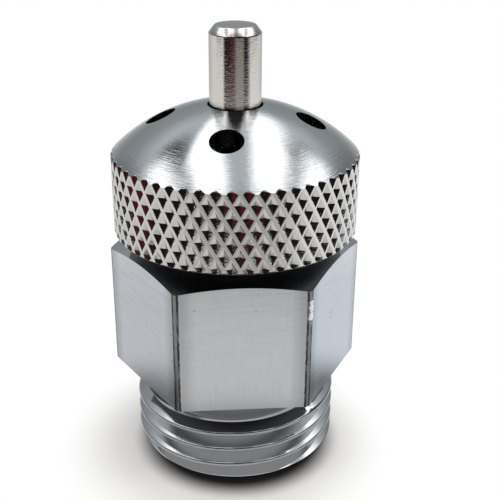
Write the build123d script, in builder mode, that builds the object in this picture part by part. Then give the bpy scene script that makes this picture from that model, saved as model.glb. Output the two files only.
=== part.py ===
"""Push-pin drain valve: a hexagonal body with a male pipe thread, a knurled domed cap and a sprung pin.

Units are millimetres. +Z is up along the valve's axis, the origin is the centre of the threaded
end's face, and a flat of the hexagon faces -Y.
"""

import os
from math import cos, pi, radians, sin, sqrt, tan

from build123d import *

# Male pipe thread, right-handed
thread_major_d = 20.955
thread_pitch = 1.814
thread_depth = 1.162
thread_flank_angle = 27.5
thread_root_flat = 0.3
thread_length = 5.9
thread_lead_in = 0.6
thread_crest_z = 1.9

# Hexagonal body
hex_af = 22.0
hex_edge_r = 0.6
hex_bottom_z = 8.9
hex_corner_z = 21.4
hex_chamfer_angle = 19.0

# Spigot that takes the cap
spigot_d = 18.0
spigot_top_z = 28.6
spigot_chamfer = 0.5

# Flow path through the body
inlet_d = 14.5
inlet_chamfer = 0.4
neck_wall = 1.75
orifice_d = 9.0
orifice_length = 3.0
chamber_d = 13.0
seat_z = 17.0
seat_lip_h = 0.4
seat_lip_w = 0.8

# Domed cap
cap_d = 24.2
cap_bottom_z = 23.75
cap_edge_z = 31.5
cap_crown_z = 36.2
cap_rim_chamfer = 0.25
cap_clocking = 260.2
cap_roof = 2.6
cavity_d = 15.0
dome_r = 17.0

# Diamond knurl round the cap: rows of sunken points between crossing bands
knurl_count = 50
knurl_period = 2.5
knurl_band = 0.31
knurl_depth = 0.3
knurl_first_z = 24.14
knurl_phase = 264.5

# Drain holes through the dome
drain_count = 4
drain_d = 3.2
drain_pcd = 14.6

# Push pin
pin_d = 5.0
pin_top_z = 43.7
pin_chamfer_w = 0.55
pin_chamfer_h = 0.7
tail_d = 4.0
tail_chamfer = 0.4
travel = 3.0

# Closing washer, disc and nut on the pin's tail
washer_d = 12.0
washer_t = 1.8
disc_t = 1.6
disc_boss_d = 6.4
disc_boss_h = 0.8
nut_af = 7.0
nut_t = 2.2
nut_chamfer_angle = 30.0

# Return spring
wire_d = 0.8
spring_mean_d = 9.6
spring_turns = 5.0
wire_sides = 8

# Guide plate
plate_t = 1.0
plate_hole_count = 6
plate_hole_d = 2.4
plate_hole_pcd = 9.4

# Retaining ring
ring_z = 2.0
ring_t = 1.0
ring_w = 1.3
ring_groove_depth = 0.5
ring_gap_angle = 40.0
ring_lug_d = 2.4
ring_lug_hole_d = 1.2

# Cap gasket
gasket_t = 1.0

# Clearances
running_gap = 0.05
side_gap = 0.1
pin_hole_gap = 0.2
end_gap = 0.3

# Radii and heights that follow from the sizes above
thread_r = thread_major_d / 2
thread_root_r = thread_r - thread_depth
inlet_r = inlet_d / 2
neck_r = inlet_r + neck_wall
groove_r = inlet_r + ring_groove_depth
orifice_r = orifice_d / 2
chamber_r = chamber_d / 2
spigot_r = spigot_d / 2
spigot_base_z = hex_corner_z + (hex_af / sqrt(3) - spigot_r) * tan(radians(hex_chamfer_angle))
cap_r = cap_d / 2
cavity_r = cavity_d / 2
pin_r = pin_d / 2
pin_hole_r = pin_r + pin_hole_gap
tail_r = tail_d / 2
tail_hole_r = tail_r + running_gap
tail_end_z = travel + end_gap
ledge_z = spigot_top_z + gasket_t
disc_top_z = seat_z - washer_t
disc_bottom_z = disc_top_z - disc_t
nut_top_z = disc_bottom_z - disc_boss_h
plate_bottom_z = ring_z + ring_t
plate_top_z = plate_bottom_z + plate_t

# Centre of the dome's arc, which runs from the rim of the pin hole to the cap's edge
dome_chord = sqrt((cap_r - pin_hole_r) ** 2 + (cap_crown_z - cap_edge_z) ** 2)
dome_drop = sqrt(dome_r**2 - dome_chord**2 / 4) / dome_chord
dome_centre_r = (cap_r + pin_hole_r) / 2 - dome_drop * (cap_crown_z - cap_edge_z)
dome_centre_z = (cap_crown_z + cap_edge_z) / 2 - dome_drop * (cap_r - pin_hole_r)


def dome_z(radius):
    """Height of the dome's outside at a distance from the axis."""
    return dome_centre_z + sqrt(dome_r**2 - (radius - dome_centre_r) ** 2)


def round_axis(radius, angle, z):
    """Point at a radius, an angle in degrees and a height."""
    return Vector(radius * cos(radians(angle)), radius * sin(radians(angle)), z)


def knurl_column(top_z):
    """Column covered with rows of sunken four-sided points, parted by crossing bands.

    The points and the crossings of the bands alternate on a lattice of half columns and half rows. The
    lattice starts half a row below the first points, and a plain stretch carries on from it to the top.
    """
    half_w = pi * cap_r / knurl_count
    half_h = knurl_period / 2
    mouth_share = 1 - knurl_band / 2 * sqrt(half_w**2 + half_h**2) / (half_w * half_h)
    rows = int((cap_edge_z - knurl_first_z) / half_h + mouth_share) + 2

    def node(column, row):
        angle = knurl_phase + column * 180 / knurl_count
        return round_axis(cap_r, angle, knurl_first_z + (row - 1) * half_h)

    facets = []
    for row in range(rows + 1):
        for column in range((row + 1) % 2, 2 * knurl_count, 2):
            right, left = node(column + 1, row), node(column - 1, row)
            up, down = node(column, row + 1), node(column, row - 1)
            if row == 0:
                facets.append([right, up, left])
            elif row == rows:
                facets.append([right, left, down])
                above = [Vector(place.X, place.Y, top_z) for place in (left, right)]
                facets.append([left, right, above[1], above[0]])
            else:
                middle = node(column, row)
                point = middle - Vector(middle.X, middle.Y, 0) * (knurl_depth / cap_r)
                corners = [right, up, left, down]
                mouth = [middle + (corner - middle) * mouth_share for corner in corners]
                for k in range(4):
                    facets.append([corners[k - 1], corners[k], mouth[k], mouth[k - 1]])
                    facets.append([mouth[k - 1], mouth[k], point])
    facets.append([node(column, 0) for column in range(0, 2 * knurl_count, 2)])
    rim = [node(column + rows % 2, rows) for column in range(0, 2 * knurl_count, 2)]
    facets.append([Vector(place.X, place.Y, top_z) for place in rim])
    return Solid(Shell([Face(Wire.make_polygon(facet)) for facet in facets]))


os.makedirs("parts", exist_ok=True)

# One turn of the thread's groove, starting below the threaded end
groove_depth = thread_depth + side_gap
groove_w = thread_root_flat + 2 * groove_depth * tan(radians(thread_flank_angle))
groove_start_z = thread_crest_z - 2.25 * thread_pitch
groove_turns = int((hex_bottom_z - groove_w / 2 - groove_start_z) / thread_pitch)
with BuildPart() as groove_turn:
    with BuildLine() as groove_path:
        Helix(thread_pitch, thread_pitch, thread_root_r, center=(0, 0, groove_start_z))
    with BuildSketch(Plane.XZ.shift_origin((thread_root_r, 0, groove_start_z))):
        Polygon(
            (0, -thread_root_flat / 2),
            (groove_depth, -groove_w / 2),
            (groove_depth, groove_w / 2),
            (0, thread_root_flat / 2),
            align=None,
        )
    sweep(path=groove_path.line, is_frenet=True)

# Valve body, turned from hexagonal bar
with BuildPart() as valve_body:
    with BuildSketch(Plane.XY.offset(hex_bottom_z)) as hexagon:
        RegularPolygon(hex_af / 2, 6, major_radius=False)
        fillet(hexagon.vertices(), hex_edge_r)
    extrude(amount=spigot_base_z - hex_bottom_z)
    # cone that chamfers the corners of the hexagon
    with BuildSketch(Plane.XZ):
        with BuildLine():
            Polyline(
                (0, hex_bottom_z),
                (hex_af / sqrt(3), hex_bottom_z),
                (hex_af / sqrt(3), hex_corner_z),
                (spigot_r, spigot_base_z),
                (0, spigot_base_z),
                close=True,
            )
        make_face()
    revolve(axis=Axis.Z, mode=Mode.INTERSECT)
    # threaded end and neck
    with BuildSketch(Plane.XZ):
        with BuildLine():
            Polyline(
                (0, 0),
                (thread_r - thread_lead_in, 0),
                (thread_r, thread_lead_in),
                (thread_r, thread_length),
                (neck_r, thread_length + (thread_r - neck_r) * tan(radians(thread_flank_angle))),
                (neck_r, hex_bottom_z),
                (0, hex_bottom_z),
                close=True,
            )
        make_face()
    revolve(axis=Axis.Z)
    # spigot for the cap
    with BuildSketch(Plane.XY.offset(spigot_base_z)):
        Circle(spigot_r)
    extrude(amount=spigot_top_z - spigot_base_z)
    chamfer(valve_body.faces().sort_by(Axis.Z)[-1].edges(), spigot_chamfer)
    # thread groove, a turn at a time, which runs out in the neck
    with Locations(*[(0, 0, turn * thread_pitch) for turn in range(groove_turns)]):
        add(groove_turn.part, mode=Mode.SUBTRACT)
    # flow path: inlet with the ring's groove, seat lip, orifice and upper chamber
    chamber_z = seat_z + seat_lip_h + orifice_length
    with BuildSketch(Plane.XZ):
        with BuildLine():
            Polyline(
                (0, 0),
                (inlet_r + inlet_chamfer, 0),
                (inlet_r, inlet_chamfer),
                (inlet_r, ring_z),
                (groove_r, ring_z),
                (groove_r, ring_z + ring_t + side_gap),
                (inlet_r, ring_z + ring_t + side_gap),
                (inlet_r, seat_z + seat_lip_h),
                (orifice_r + seat_lip_w, seat_z + seat_lip_h),
                (orifice_r + seat_lip_w, seat_z),
                (orifice_r, seat_z),
                (orifice_r, chamber_z),
                (chamber_r, chamber_z + chamber_r - orifice_r),
                (chamber_r, spigot_top_z),
                (0, spigot_top_z),
                close=True,
            )
        make_face()
    revolve(axis=Axis.Z, mode=Mode.SUBTRACT)
valve_body.part.label = "valve_body"
export_step(valve_body.part, "parts/valve_body.step")

# Knurled cap, screwed on the spigot
with BuildPart() as knurled_cap:
    with BuildSketch(Plane.XZ):
        with BuildLine():
            Polyline(
                (pin_hole_r, cap_crown_z),
                (pin_hole_r, cap_crown_z - cap_roof),
                (cavity_r, dome_z(cavity_r) - cap_roof),
                (cavity_r, ledge_z),
                (spigot_r + running_gap, ledge_z),
                (spigot_r + running_gap, cap_bottom_z),
                (cap_r - cap_rim_chamfer, cap_bottom_z),
                (cap_r, cap_bottom_z + cap_rim_chamfer),
                (cap_r, cap_edge_z),
            )
            RadiusArc((cap_r, cap_edge_z), (pin_hole_r, cap_crown_z), -dome_r)
        make_face()
    revolve(axis=Axis.Z)
    add(knurl_column(cap_crown_z + knurl_period), mode=Mode.INTERSECT)
    # drain holes, square to the dome
    drain_r = drain_pcd / 2
    drain_tilt = (drain_r - dome_centre_r) / dome_r
    for k in range(drain_count):
        angle = cap_clocking + k * 360 / drain_count
        mouth = round_axis(drain_r, angle, dome_z(drain_r))
        outward = round_axis(drain_tilt, angle, sqrt(1 - drain_tilt**2))
        with BuildSketch(Plane(origin=mouth + outward, z_dir=outward)):
            Circle(drain_d / 2)
        extrude(amount=-1 - 1.5 * cap_roof, mode=Mode.SUBTRACT)
knurled_cap.part.label = "knurled_cap"
export_step(knurled_cap.part, "parts/knurled_cap.step")

# Push pin with its thinner tail
with BuildPart() as push_pin:
    with BuildSketch(Plane.XZ):
        with BuildLine():
            Polyline(
                (0, tail_end_z),
                (tail_r - tail_chamfer, tail_end_z),
                (tail_r, tail_end_z + tail_chamfer),
                (tail_r, seat_z),
                (pin_r, seat_z),
                (pin_r, pin_top_z - pin_chamfer_h),
                (pin_r - pin_chamfer_w, pin_top_z),
                (0, pin_top_z),
                close=True,
            )
        make_face()
    revolve(axis=Axis.Z)
push_pin.part.label = "push_pin"
export_step(push_pin.part, "parts/push_pin.step")

# Soft washer that closes on the seat lip
with BuildPart() as seat_washer:
    with BuildSketch(Plane.XY.offset(disc_top_z)):
        Circle(washer_d / 2)
        Circle(tail_hole_r, mode=Mode.SUBTRACT)
    extrude(amount=washer_t)
seat_washer.part.label = "seat_washer"
export_step(seat_washer.part, "parts/seat_washer.step")

# Disc that backs the washer, with a boss that centres the nut
with BuildPart() as valve_disc:
    with BuildSketch(Plane.XY.offset(disc_bottom_z)):
        Circle(washer_d / 2)
    extrude(amount=disc_t)
    with BuildSketch(Plane.XY.offset(nut_top_z)):
        Circle(disc_boss_d / 2)
    extrude(amount=disc_boss_h)
    with BuildSketch(Plane.XY.offset(nut_top_z)):
        Circle(tail_hole_r)
    extrude(amount=disc_boss_h + disc_t, mode=Mode.SUBTRACT)
valve_disc.part.label = "valve_disc"
export_step(valve_disc.part, "parts/valve_disc.step")

# Thin nut that clamps disc and washer against the pin's shoulder
with BuildPart() as lock_nut:
    with BuildSketch(Plane.XY.offset(nut_top_z)):
        RegularPolygon(nut_af / 2, 6, major_radius=False)
    extrude(amount=-nut_t)
    nut_corner_r = nut_af / sqrt(3)
    nut_bevel_h = (nut_corner_r - nut_af / 2) * tan(radians(nut_chamfer_angle))
    with BuildSketch(Plane.XZ):
        with BuildLine():
            Polyline(
                (tail_hole_r, nut_top_z),
                (nut_corner_r, nut_top_z),
                (nut_corner_r, nut_top_z - nut_t + nut_bevel_h),
                (nut_af / 2, nut_top_z - nut_t),
                (tail_hole_r, nut_top_z - nut_t),
                close=True,
            )
        make_face()
    revolve(axis=Axis.Z, mode=Mode.INTERSECT)
lock_nut.part.label = "lock_nut"
export_step(lock_nut.part, "parts/lock_nut.step")

# Return spring between the guide plate and the disc
with BuildPart() as return_spring:
    spring_bottom_z = plate_top_z + wire_d / 2
    spring_rise = disc_bottom_z - plate_top_z - wire_d
    with BuildLine() as coil:
        Helix(spring_rise / spring_turns, spring_rise, spring_mean_d / 2, center=(0, 0, spring_bottom_z))
    with BuildSketch(Plane.XZ.shift_origin((spring_mean_d / 2, 0, spring_bottom_z))):
        RegularPolygon(wire_d / 2, wire_sides)
    sweep(path=coil.line, is_frenet=True)
return_spring.part.label = "return_spring"
export_step(return_spring.part, "parts/return_spring.step")

# Perforated plate that carries the spring and guides the tail
with BuildPart() as guide_plate:
    with BuildSketch(Plane.XY.offset(plate_bottom_z)):
        Circle(inlet_r - running_gap)
        Circle(tail_hole_r, mode=Mode.SUBTRACT)
        with PolarLocations(plate_hole_pcd / 2, plate_hole_count):
            Circle(plate_hole_d / 2, mode=Mode.SUBTRACT)
    extrude(amount=plate_t)
guide_plate.part.label = "guide_plate"
export_step(guide_plate.part, "parts/guide_plate.step")

# Sprung ring with two lugs, in the groove of the inlet
with BuildPart() as retaining_ring:
    ring_r = groove_r - side_gap
    lug_r = ring_r - ring_w
    with BuildSketch(Plane.XY.offset(ring_z)):
        Circle(ring_r)
        Circle(ring_r - ring_w, mode=Mode.SUBTRACT)
        with BuildLine():
            Polyline(
                (0, 0),
                (2 * ring_r * cos(radians(ring_gap_angle / 2)), 2 * ring_r * sin(radians(ring_gap_angle / 2))),
                (2 * ring_r * cos(radians(ring_gap_angle / 2)), -2 * ring_r * sin(radians(ring_gap_angle / 2))),
                close=True,
            )
        make_face(mode=Mode.SUBTRACT)
        lug_places = [round_axis(lug_r, side * ring_gap_angle / 2, 0) for side in (-1, 1)]
        with Locations(*lug_places):
            Circle(ring_lug_d / 2)
            Circle(ring_lug_hole_d / 2, mode=Mode.SUBTRACT)
    extrude(amount=ring_t)
retaining_ring.part.label = "retaining_ring"
export_step(retaining_ring.part, "parts/retaining_ring.step")

# Flat gasket between the spigot's end and the ledge in the cap
with BuildPart() as cap_gasket:
    with BuildSketch(Plane.XY.offset(spigot_top_z)):
        Circle(spigot_r - spigot_chamfer)
        Circle(chamber_r + side_gap, mode=Mode.SUBTRACT)
    extrude(amount=gasket_t)
cap_gasket.part.label = "cap_gasket"
export_step(cap_gasket.part, "parts/cap_gasket.step")
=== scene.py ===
"""Looks of the push-pin drain valve, built round its CAD frame.

Sizes are in millimetres in the valve's own frame, with +Z up along its axis and a flat of the
hexagon towards -Y. Meshes are brought to metres when they become objects.
"""

import logging
from dataclasses import dataclass
from enum import Enum
from functools import reduce
from math import asin, atan2, ceil, degrees, pi, radians, sqrt, tan
from typing import Callable, Iterable, Sequence

import bmesh
import bpy
from bmesh.types import BMEdge, BMesh, BMFace, BMVert
from bpy.types import Material, Node, NodeSocket, NodeTree, Object
from mathutils import Matrix, Vector


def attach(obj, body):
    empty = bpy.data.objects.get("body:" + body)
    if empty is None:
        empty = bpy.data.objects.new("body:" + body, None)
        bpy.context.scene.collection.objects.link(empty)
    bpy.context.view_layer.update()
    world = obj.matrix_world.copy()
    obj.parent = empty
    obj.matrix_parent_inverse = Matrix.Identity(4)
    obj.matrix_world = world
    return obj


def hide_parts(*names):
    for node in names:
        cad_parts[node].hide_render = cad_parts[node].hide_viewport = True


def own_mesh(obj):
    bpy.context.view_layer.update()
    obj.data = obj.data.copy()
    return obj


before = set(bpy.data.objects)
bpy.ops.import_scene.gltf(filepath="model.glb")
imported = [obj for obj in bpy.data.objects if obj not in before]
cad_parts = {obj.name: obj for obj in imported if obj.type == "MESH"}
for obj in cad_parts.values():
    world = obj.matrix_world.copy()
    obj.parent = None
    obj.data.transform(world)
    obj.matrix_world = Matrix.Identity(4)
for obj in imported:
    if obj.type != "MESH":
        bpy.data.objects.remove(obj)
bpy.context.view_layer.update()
LOG = logging.getLogger("drain_valve")

Triple = tuple[float, float, float]
Span = tuple[float, float]
Pair = tuple[Triple, Triple]

MM = 0.001
ORIGIN = (0.0, 0.0, 0.0)
AXIS = (0.0, 0.0, 1.0)
OVER = 1.0  # how far a tool stands past what it cuts
NEAR = 1e-3  # how close two places count as one
WHITE = (1.0, 1.0, 1.0)
BLACK = (0.0, 0.0, 0.0)
STAGE_CREASE = 30.0


class Join(Enum):
    """How two solids become one."""

    ADD = "UNION"
    KEEP_COMMON = "INTERSECT"
    CUT = "DIFFERENCE"


def spun(mesh: BMesh, angle: float, steps: int, rise: float = 0.0, merge: bool = False) -> None:
    """Spins a mesh by an angle in radians about the valve's axis, with a rise at each step."""
    bmesh.ops.spin(
        mesh,
        geom=mesh.verts[:] + mesh.edges[:],
        cent=ORIGIN,
        axis=AXIS,
        dvec=(0.0, 0.0, rise),
        angle=angle,
        steps=steps,
        use_merge=merge,
    )


def swung(mesh: BMesh, verts: Sequence[BMVert], angle: float, axis: str = "Z") -> None:
    """Turns points of a mesh about an axis through the origin, by an angle in radians."""
    bmesh.ops.rotate(mesh, cent=ORIGIN, matrix=Matrix.Rotation(angle, 3, axis), verts=verts)


def lifted(mesh: BMesh, verts: Sequence[BMVert], height: float) -> None:
    """Moves points of a mesh up by a height."""
    bmesh.ops.translate(mesh, vec=(0.0, 0.0, height), verts=verts)


def cut_off(mesh: BMesh, height: float, side: float) -> None:
    """Cuts away what lies above a height, with a side of 1, or below it, with a side of -1."""
    bmesh.ops.bisect_plane(
        mesh,
        geom=mesh.verts[:] + mesh.edges[:] + mesh.faces[:],
        plane_co=(0.0, 0.0, height),
        plane_no=(0.0, 0.0, side),
        clear_outer=True,
    )


def tidied(mesh: BMesh) -> BMesh:
    """Merges doubles and turns the faces outwards.

    Args:
        mesh: Mesh that is worked on.

    Returns:
        The same mesh.
    """
    bmesh.ops.remove_doubles(mesh, verts=mesh.verts, dist=1e-5)
    bmesh.ops.dissolve_degenerate(mesh, dist=1e-6, edges=mesh.edges)
    bmesh.ops.recalc_face_normals(mesh, faces=mesh.faces)
    return mesh


def capped(mesh: BMesh) -> BMesh:
    """Fills the open ends of a mesh, tidies it and returns it."""
    bmesh.ops.holes_fill(mesh, edges=[edge for edge in mesh.edges if edge.is_boundary])
    return tidied(mesh)


class TurnedProfile:
    """Half section in the XZ plane, drawn point by point and spun about the valve's axis."""

    def __init__(self, radius: float, height: float) -> None:
        """Starts the section at a radius and a height."""
        self.mesh = bmesh.new()
        self.tip = self.mesh.verts.new((radius, 0.0, height))

    def lines_to(self, *points: Span) -> "TurnedProfile":
        """Draws straight lines.

        Args:
            points: Radius and height of each line's end.

        Returns:
            The section.
        """
        for radius, height in points:
            self.tip = bmesh.ops.extrude_vert_indiv(self.mesh, verts=[self.tip])["verts"][0]
            self.tip.co = (radius, 0.0, height)
        return self

    def arc_about(self, centre: Vector, angle: float, steps: int) -> "TurnedProfile":
        """Draws an arc about a centre in the section's plane.

        Args:
            centre: Radius and height of the centre.
            angle: Turn in radians, positive from up towards outwards.
            steps: Number of straight pieces in the arc.

        Returns:
            The section.
        """
        made = bmesh.ops.spin(
            self.mesh,
            geom=[self.tip],
            cent=(centre.x, 0.0, centre.y),
            axis=(0.0, 1.0, 0.0),
            angle=angle,
            steps=steps,
        )
        self.tip = next(item for item in made["geom_last"] if isinstance(item, BMVert))
        return self

    def turn(self, steps: int) -> BMesh:
        """Spins the section a full turn in steps and returns the shell, its normals outwards."""
        spun(self.mesh, 2 * pi, steps, merge=True)
        return tidied(self.mesh)


def joined(first: BMesh, second: BMesh, how: Join) -> BMesh:
    """Combines two closed shells with an exact Boolean.

    Args:
        first: Shell that is worked on.
        second: Shell that is added, kept or cut away.
        how: Kind of combination.

    Returns:
        The new shell. The two that went in are freed.
    """
    pair = []
    for mesh in (first, second):
        data = bpy.data.meshes.new("shell")
        mesh.to_mesh(data)
        mesh.free()
        shell = bpy.data.objects.new("shell", data)
        bpy.context.scene.collection.objects.link(shell)
        pair.append(shell)
    step = pair[0].modifiers.new("join", "BOOLEAN")
    step.operation = how.value
    step.solver = "EXACT"
    step.object = pair[1]
    result = bmesh.new()
    result.from_object(pair[0], bpy.context.evaluated_depsgraph_get())
    for shell in pair:
        data = shell.data
        bpy.data.objects.remove(shell)
        bpy.data.meshes.remove(data)
    return result


def edges_where(mesh: BMesh, test: Callable[[Vector], bool]) -> list[BMEdge]:
    """Edges of a mesh whose two ends both pass a test of their place."""
    return [edge for edge in mesh.edges if all(test(vert.co) for vert in edge.verts)]


def level(edge: BMEdge, slack: float) -> bool:
    """Whether an edge's two ends are about as high as each other."""
    return abs(edge.verts[0].co.z - edge.verts[1].co.z) < slack


def rounded(mesh: BMesh, edges: Sequence[BMEdge], size: float, segments: int) -> None:
    """Rounds edges of a mesh by a width in millimetres."""
    bmesh.ops.bevel(
        mesh,
        geom=list(edges),
        offset=size,
        offset_type="OFFSET",
        affect="EDGES",
        segments=segments,
        profile=0.5,
        material=-1,
        clamp_overlap=True,
    )


def set_piece(mesh: BMesh, name: str, materials: Sequence[Material], crease: float) -> Object:
    """Makes a finished piece of a mesh in millimetres.

    Args:
        mesh: Mesh of the piece, which is freed.
        name: Name of the piece.
        materials: Materials, in the order of the faces' indices.
        crease: Angle in degrees from which an edge stays sharp.

    Returns:
        The piece's object, at the origin.
    """
    for face in mesh.faces:
        face.smooth = True
    for edge in mesh.edges:
        edge.smooth = len(edge.link_faces) == 2 and edge.calc_face_angle(0.0) < radians(crease)
    bmesh.ops.scale(mesh, vec=(MM, MM, MM), verts=mesh.verts)
    data = bpy.data.meshes.new(name)
    mesh.to_mesh(data)
    mesh.free()
    for material in materials:
        data.materials.append(material)
    piece = bpy.data.objects.new(name, data)
    bpy.context.scene.collection.objects.link(piece)
    even = piece.modifiers.new("even_normals", "WEIGHTED_NORMAL")
    even.keep_sharp = True
    even.weight = 90
    return piece


class NodeSheet:
    """Node tree with short calls that add and join nodes."""

    def __init__(self, tree: NodeTree) -> None:
        """Takes a tree and clears it."""
        self.tree = tree
        tree.nodes.clear()

    def add(self, kind: str, inputs: dict | None = None, **settings: object) -> Node:
        """Adds a node.

        Args:
            kind: Node type without the leading ShaderNode.
            inputs: Values or sockets for the node's inputs, by name or number.
            settings: Properties of the node.

        Returns:
            The node.
        """
        node = self.tree.nodes.new(kind if kind.startswith("Node") else "ShaderNode" + kind)
        for key, value in settings.items():
            setattr(node, key, value)
        for key, value in (inputs or {}).items():
            if isinstance(value, NodeSocket):
                self.tree.links.new(value, node.inputs[key])
            else:
                node.inputs[key].default_value = value
        return node

    def math(self, operation: str, *values: object, clamp: bool = False) -> NodeSocket:
        """Adds a Math node on the given values or sockets and returns its output."""
        node = self.add("Math", dict(enumerate(values)), operation=operation, use_clamp=clamp)
        return node.outputs[0]

    def product(self, *values: object) -> NodeSocket:
        """Multiplies values or sockets one after the other and returns the result."""
        return reduce(lambda first, second: self.math("MULTIPLY", first, second), values)

    def rest(self, share: object) -> NodeSocket:
        """Takes a share from 1 and returns what is left."""
        return self.math("SUBTRACT", 1.0, share)

    def span(
        self, value: object, low: object, high: object, to_low: float = 0.0, to_high: float = 1.0
    ) -> NodeSocket:
        """Adds a smooth Map Range node and returns its output."""
        inputs = dict(enumerate((value, low, high, to_low, to_high)))
        return self.add("MapRange", inputs, interpolation_type="SMOOTHSTEP").outputs["Result"]

    def tones(self, share: object, first: object, second: object) -> NodeSocket:
        """Adds a colour Mix node.

        Args:
            share: Share of the second colour.
            first: Colour or socket at a share of 0.
            second: Colour or socket at a share of 1.

        Returns:
            The mixed colour.
        """
        node = self.add("Mix", {"Factor": share}, data_type="RGBA")
        for socket, colour in ((node.inputs[6], first), (node.inputs[7], second)):
            if isinstance(colour, NodeSocket):
                self.tree.links.new(colour, socket)
            else:
                socket.default_value = (*colour, 1.0)
        return node.outputs[2]

    def ramp(self, value: object, stops: Sequence[tuple[float, Triple]]) -> NodeSocket:
        """Adds a colour ramp.

        Args:
            value: Value that is looked up.
            stops: Places on the ramp from 0 to 1, with the colour there.

        Returns:
            The colour.
        """
        node = self.add("ValToRGB", {"Fac": value})
        elements = node.color_ramp.elements
        while len(elements) < len(stops):
            elements.new(0.5)
        for element, (position, colour) in zip(elements, stops):
            element.position = position
            element.color = (*colour, 1.0)
        return node.outputs["Color"]

    def place(self, scale: float = 1.0 / MM) -> NodeSocket:
        """Adds Object coordinates, in millimetres unless scaled otherwise, and returns them."""
        source = self.add("TexCoord").outputs["Object"]
        node = self.add("VectorMath", {0: source}, operation="SCALE")
        node.inputs["Scale"].default_value = scale
        return node.outputs["Vector"]

    def axes(self, place: NodeSocket) -> tuple[NodeSocket, ...]:
        """Splits a place into its three coordinates and returns them."""
        return tuple(self.add("SeparateXYZ", {0: place}).outputs)

    def stretched(self, place: NodeSocket, scale: Triple) -> NodeSocket:
        """Scales a place along the three axes and returns it."""
        return self.add("Mapping", {"Vector": place, "Scale": scale}).outputs[0]

    def distance(self, place: NodeSocket, centre: Triple) -> NodeSocket:
        """Adds the distance of a place from a centre and returns it."""
        node = self.add("VectorMath", {0: place, 1: centre}, operation="DISTANCE")
        return node.outputs["Value"]

    def noise(
        self, place: NodeSocket, scale: float, detail: float, output: str = "Fac"
    ) -> NodeSocket:
        """Adds a Noise node at a place and returns one of its outputs."""
        node = self.add("TexNoise", {"Vector": place, "Scale": scale, "Detail": detail})
        return node.outputs[output]

    def glow(self, colour: NodeSocket) -> NodeSocket:
        """Adds an even glow of a colour and returns its shader."""
        return self.add("Emission", {"Color": colour, "Strength": 1.0}).outputs[0]

    def surface(self, height: NodeSocket, depth: float, inputs: dict) -> None:
        """Adds a bumped shader and the material's output.

        Args:
            height: Height of the bumps.
            depth: Depth of the bumps.
            inputs: Values or sockets for the shader's inputs.
        """
        bump = self.add("Bump", {"Strength": 1.0, "Distance": depth * MM, "Height": height})
        shader = self.add("BsdfPrincipled", {**inputs, "Normal": bump.outputs["Normal"]})
        self.add("OutputMaterial", {"Surface": shader.outputs[0]})


def new_material(name: str) -> tuple[Material, NodeSheet]:
    """Starts a material.

    Args:
        name: Name of the material.

    Returns:
        The material and its empty sheet.
    """
    material = bpy.data.materials.new(name)
    material.use_nodes = True
    return material, NodeSheet(material.node_tree)


class Groups:
    """Shader node groups for the marks that several finishes share."""

    def __init__(self) -> None:
        """Builds the groups."""
        self.turned = self._turned_lines()
        self.specks = self._specks()

    @staticmethod
    def _start(
        name: str, inputs: dict[str, float], outputs: Iterable[str]
    ) -> tuple[NodeSheet, dict[str, NodeSocket], Node]:
        """Starts a group.

        Args:
            name: Name of the group.
            inputs: Names and defaults of its value inputs.
            outputs: Names of its value outputs.

        Returns:
            The sheet, its input sockets by name and the output node.
        """
        tree = bpy.data.node_groups.new(name, "ShaderNodeTree")
        tree.interface.new_socket("Place", in_out="INPUT", socket_type="NodeSocketVector")
        for key, value in inputs.items():
            socket = tree.interface.new_socket(key, in_out="INPUT", socket_type="NodeSocketFloat")
            socket.default_value = value
        for key in outputs:
            tree.interface.new_socket(key, in_out="OUTPUT", socket_type="NodeSocketFloat")
        sheet = NodeSheet(tree)
        source = sheet.add("NodeGroupInput")
        given = {socket.name: socket for socket in source.outputs}
        return sheet, given, sheet.add("NodeGroupOutput")

    def _turned_lines(self) -> NodeTree:
        """Builds the fine lines left by the lathe tool, drawn out round the axis.

        Returns:
            The group, with the lines' height as its output.
        """
        sheet, given, end = self._start("turned_lines", {"Pitch": 0.1, "Sweep": 2.0}, ("Height",))
        x, y, z = sheet.axes(given["Place"])
        radius = sheet.math("SQRT", sheet.math("ADD", sheet.product(x, x), sheet.product(y, y)))
        along = sheet.math("DIVIDE", sheet.math("SUBTRACT", radius, z), given["Pitch"])
        round_x = sheet.product(sheet.math("DIVIDE", x, radius), given["Sweep"])
        round_y = sheet.product(sheet.math("DIVIDE", y, radius), given["Sweep"])
        where = sheet.add("CombineXYZ", {0: round_x, 1: round_y, 2: along}).outputs[0]
        grain = {"Scale": 1.0, "Detail": 2.0, "Roughness": 0.6}
        noise = sheet.add("TexNoise", {"Vector": where, **grain})
        sheet.tree.links.new(noise.outputs["Fac"], end.inputs["Height"])
        return sheet.tree

    def _specks(self) -> NodeTree:
        """Builds scattered small pits, some cells of a grid holding one.

        Returns:
            The group, with the pits' mask as its output.
        """
        defaults = {"Spacing": 1.5, "Size": 0.1, "Share": 0.3}
        sheet, given, end = self._start("specks", defaults, ("Mask",))
        spread = sheet.add("CombineXYZ", {number: given["Spacing"] for number in range(3)})
        ends = {0: given["Place"], 1: spread.outputs[0]}
        where = sheet.add("VectorMath", ends, operation="DIVIDE")
        cells = sheet.add("TexVoronoi", {"Vector": where.outputs[0], "Scale": 1.0})
        chance = sheet.add("SeparateColor", {0: cells.outputs["Color"]})
        held = sheet.math("LESS_THAN", chance.outputs[0], given["Share"])
        size = sheet.product(given["Size"], chance.outputs[1])
        inside = sheet.math("LESS_THAN", cells.outputs["Distance"], size)
        sheet.tree.links.new(sheet.product(held, inside), end.inputs["Mask"])
        return sheet.tree


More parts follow.
